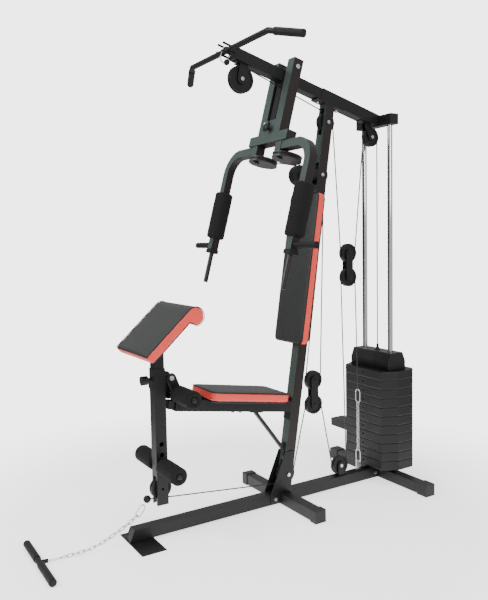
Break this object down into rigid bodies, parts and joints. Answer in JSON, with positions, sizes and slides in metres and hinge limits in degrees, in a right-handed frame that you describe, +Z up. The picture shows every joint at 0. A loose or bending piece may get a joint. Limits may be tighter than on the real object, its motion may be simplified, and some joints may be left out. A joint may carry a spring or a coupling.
{
  "type": "multi station home gym",
  "caption": "Home gym with leaning upright, cable and pulley weight stack, press and butterfly arms, lat bar, padded seat, leg lever, curl pad and a low handle on a chain.",
  "frame": {"origin": "on the floor under the middle of the whole machine's length and width, with the handle lying out in front", "axes": "+Z up, +Y to the rear where the weight stack stands, -Y to the front where the user sits and the handle lies, +X to the side of the frame's left hand user"},
  "size_m": [0.978, 1.873, 2.0691],
  "materials": {
    "frame_paint": "charcoal powder coat, satin",
    "grey_paint": "grey-green powder coat, satin",
    "chrome": "polished rod",
    "zinc": "zinc plated bolts and links",
    "pad_vinyl": "vinyl: charcoal face with coral red sides",
    "foam": "closed-cell foam and rubber",
    "plastic": "black moulded plastic",
    "cable": "plastic covered steel cable",
    "weights": "moulded shell over a weight"
  },
  "bodies": {
    "frame": {"base_frame": "frame_paint", "caps_and_bumpers": "plastic", "base_plates": "frame_paint", "upright": "frame_paint", "top_beam": "frame_paint", "top_beam_rear": "frame_paint", "guide_rods": "chrome", "pulley_brackets": "frame_paint", "back_pad": "pad_vinyl", "seat_pad": "pad_vinyl", "seat_beam": "frame_paint", "lever_hinge_plates": "frame_paint", "press_hanger": "frame_paint", "frame_bolts": "zinc", "lower_weight_plates": "weights", "side_step": "plastic", "anchor_chain": "zinc", "block_two": "frame_paint", "fixed_cables": "cable", "stack_cable": "cable", "block_cable_a": "cable", "block_cable_b": "cable", "block_cable_c": "cable", "block_cable_d": "cable"},
    "weight_stack": {"weight_head": "frame_paint", "upper_weight_plates": "weights"},
    "selector": {"selector_pin": "plastic"},
    "lat_bar": {"lat_bar": "frame_paint", "lat_grips": "foam", "lat_hook": "zinc"},
    "press": {"press_frame": "grey_paint"},
    "press_lock": {"press_lock_knob": "plastic"},
    "left_arm": {"left_arm": "grey_paint", "left_arm_roll": "foam", "left_arm_grips": "foam"},
    "right_arm": {"right_arm": "grey_paint", "right_arm_roll": "foam", "right_arm_grips": "foam"},
    "front_top_pulley": {"front_top_pulley": "plastic"},
    "upright_top_pulley": {"upright_top_pulley": "plastic"},
    "upright_low_pulley": {"upright_low_pulley": "plastic"},
    "rear_top_pulley": {"rear_top_pulley": "plastic"},
    "base_pulley": {"base_pulley": "plastic"},
    "guide_pulleys": {"guide_pulleys": "plastic"},
    "front_guide_pulleys": {"front_guide_pulleys": "plastic"},
    "block_one": {"block_one": "frame_paint"},
    "block_one_top_pulley": {"block_one_top_pulley": "plastic"},
    "block_one_low_pulley": {"block_one_low_pulley": "plastic"},
    "block_two_top_pulley": {"block_two_top_pulley": "plastic"},
    "block_two_low_pulley": {"block_two_low_pulley": "plastic"},
    "leg_lever": {"lever_post": "frame_paint", "lever_cable": "cable"},
    "lever_pulley": {"lever_pulley": "plastic"},
    "upper_rollers": {"upper_foam_rollers": "foam"},
    "lower_rollers": {"lower_foam_rollers": "foam"},
    "curl": {"curl_post": "frame_paint", "curl_pad": "pad_vinyl"},
    "curl_knob": {"curl_knob": "plastic"},
    "low_handle": {"low_handle": "foam", "low_chain": "zinc"}
  },
  "joints": [
    {"name": "leg_lever_swing", "type": "hinge", "parent": "frame", "child": "leg_lever", "pos_m": [0, -0.34893, 0.66207], "axis": [-1, 0, 0], "range_deg": [0, 70]},
    {"name": "stack_lift", "type": "slide", "parent": "frame", "child": "weight_stack", "axis": [0, 0, 1], "range_m": [0, 0.48], "deforming": ["stack_cable"]},
    {"name": "block_one_travel", "type": "slide", "parent": "frame", "child": "block_one", "axis": [0, 0, -1], "range_m": [0, 0.24], "deforming": ["block_cable_a", "block_cable_b", "block_cable_c", "block_cable_d"]},
    {"name": "selector_pull", "type": "slide", "parent": "weight_stack", "child": "selector", "axis": [0, 1, 0], "range_m": [0, 0.11]},
    {"name": "lat_bar_pull", "type": "slide", "parent": "frame", "child": "lat_bar", "axis": [0, -0.9636, 0.2672], "range_m": [0, 0.06]},
    {"name": "press_swing", "type": "hinge", "parent": "frame", "child": "press", "pos_m": [0, 0.28033, 1.99021], "axis": [-1, 0, 0], "range_deg": [0, 32]},
    {"name": "press_lock_push", "type": "slide", "parent": "press", "child": "press_lock", "axis": [0, 0.9636, -0.2672], "range_m": [0, 0.0085]},
    {"name": "left_arm_swing", "type": "hinge", "parent": "press", "child": "left_arm", "pos_m": [0.095, 0.28033, 1.99021], "axis": [0, -0.2672, -0.9636], "range_deg": [0, 85]},
    {"name": "right_arm_swing", "type": "hinge", "parent": "press", "child": "right_arm", "pos_m": [-0.095, 0.28033, 1.99021], "axis": [0, 0.2672, 0.9636], "range_deg": [0, 85]},
    {"name": "curl_height", "type": "slide", "parent": "leg_lever", "child": "curl", "axis": [0, 0, 1], "range_m": [0, 0.06]},
    {"name": "curl_knob_pull", "type": "slide", "parent": "leg_lever", "child": "curl_knob", "axis": [0, -1, 0], "range_m": [0, 0.008]},
    {"name": "low_handle_pull", "type": "slide", "parent": "leg_lever", "child": "low_handle", "axis": [0, -1, 0], "range_m": [0, 0.3]},
    {"name": "front_top_pulley_spin", "type": "hinge", "parent": "frame", "child": "front_top_pulley", "pos_m": [0, 0.0335, 1.925], "axis": [1, 0, 0], "continuous": true},
    {"name": "upright_top_pulley_spin", "type": "hinge", "parent": "frame", "child": "upright_top_pulley", "pos_m": [0, 0.50045, 1.77388], "axis": [1, 0, 0], "continuous": true},
    {"name": "upright_low_pulley_spin", "type": "hinge", "parent": "frame", "child": "upright_low_pulley", "pos_m": [0, 0.23999, 0.12939], "axis": [1, 0, 0], "continuous": true},
    {"name": "rear_top_pulley_spin", "type": "hinge", "parent": "frame", "child": "rear_top_pulley", "pos_m": [0, 0.7827, 1.72407], "axis": [1, 0, 0], "continuous": true},
    {"name": "base_pulley_spin", "type": "hinge", "parent": "frame", "child": "base_pulley", "pos_m": [0, 0.5695, 0.104], "axis": [1, 0, 0], "continuous": true},
    {"name": "guide_pulleys_spin", "type": "hinge", "parent": "frame", "child": "guide_pulleys", "pos_m": [0, 0.4615, 1.52795], "axis": [1, 0, 0], "continuous": true},
    {"name": "front_guide_pulleys_spin", "type": "hinge", "parent": "frame", "child": "front_guide_pulleys", "pos_m": [0, 0.3425, 1.52195], "axis": [1, 0, 0], "continuous": true},
    {"name": "block_one_top_pulley_spin", "type": "hinge", "parent": "block_one", "child": "block_one_top_pulley", "pos_m": [0, 0.6335, 1.155], "axis": [1, 0, 0], "continuous": true},
    {"name": "block_one_low_pulley_spin", "type": "hinge", "parent": "block_one", "child": "block_one_low_pulley", "pos_m": [0, 0.6335, 1.037], "axis": [1, 0, 0], "continuous": true},
    {"name": "block_two_top_pulley_spin", "type": "hinge", "parent": "frame", "child": "block_two_top_pulley", "pos_m": [0, 0.4105, 0.552], "axis": [1, 0, 0], "continuous": true},
    {"name": "block_two_low_pulley_spin", "type": "hinge", "parent": "frame", "child": "block_two_low_pulley", "pos_m": [0, 0.4105, 0.434], "axis": [1, 0, 0], "continuous": true},
    {"name": "lever_pulley_spin", "type": "hinge", "parent": "leg_lever", "child": "lever_pulley", "pos_m": [0, -0.39993, 0.19807], "axis": [1, 0, 0], "continuous": true},
    {"name": "upper_rollers_spin", "type": "hinge", "parent": "frame", "child": "upper_rollers", "pos_m": [0, -0.32619, 0.59469], "axis": [1, 0, 0], "continuous": true},
    {"name": "lower_rollers_spin", "type": "hinge", "parent": "leg_lever", "child": "lower_rollers", "pos_m": [0, -0.39993, 0.29707], "axis": [1, 0, 0], "continuous": true}
  ],
  "couplings": [
    {"joint": "stack_lift", "follows": "leg_lever_swing", "m_per_rad": 0.39},
    {"joint": "block_one_travel", "follows": "leg_lever_swing", "m_per_rad": 0.195},
    {"joint": "rear_top_pulley_spin", "follows": "leg_lever_swing", "ratio": -8.7054},
    {"joint": "lever_pulley_spin", "follows": "leg_lever_swing", "ratio": 8.7054},
    {"joint": "upright_low_pulley_spin", "follows": "leg_lever_swing", "ratio": 8.7054},
    {"joint": "block_two_low_pulley_spin", "follows": "leg_lever_swing", "ratio": -8.7054},
    {"joint": "base_pulley_spin", "follows": "leg_lever_swing", "ratio": 8.7054}
  ]
}
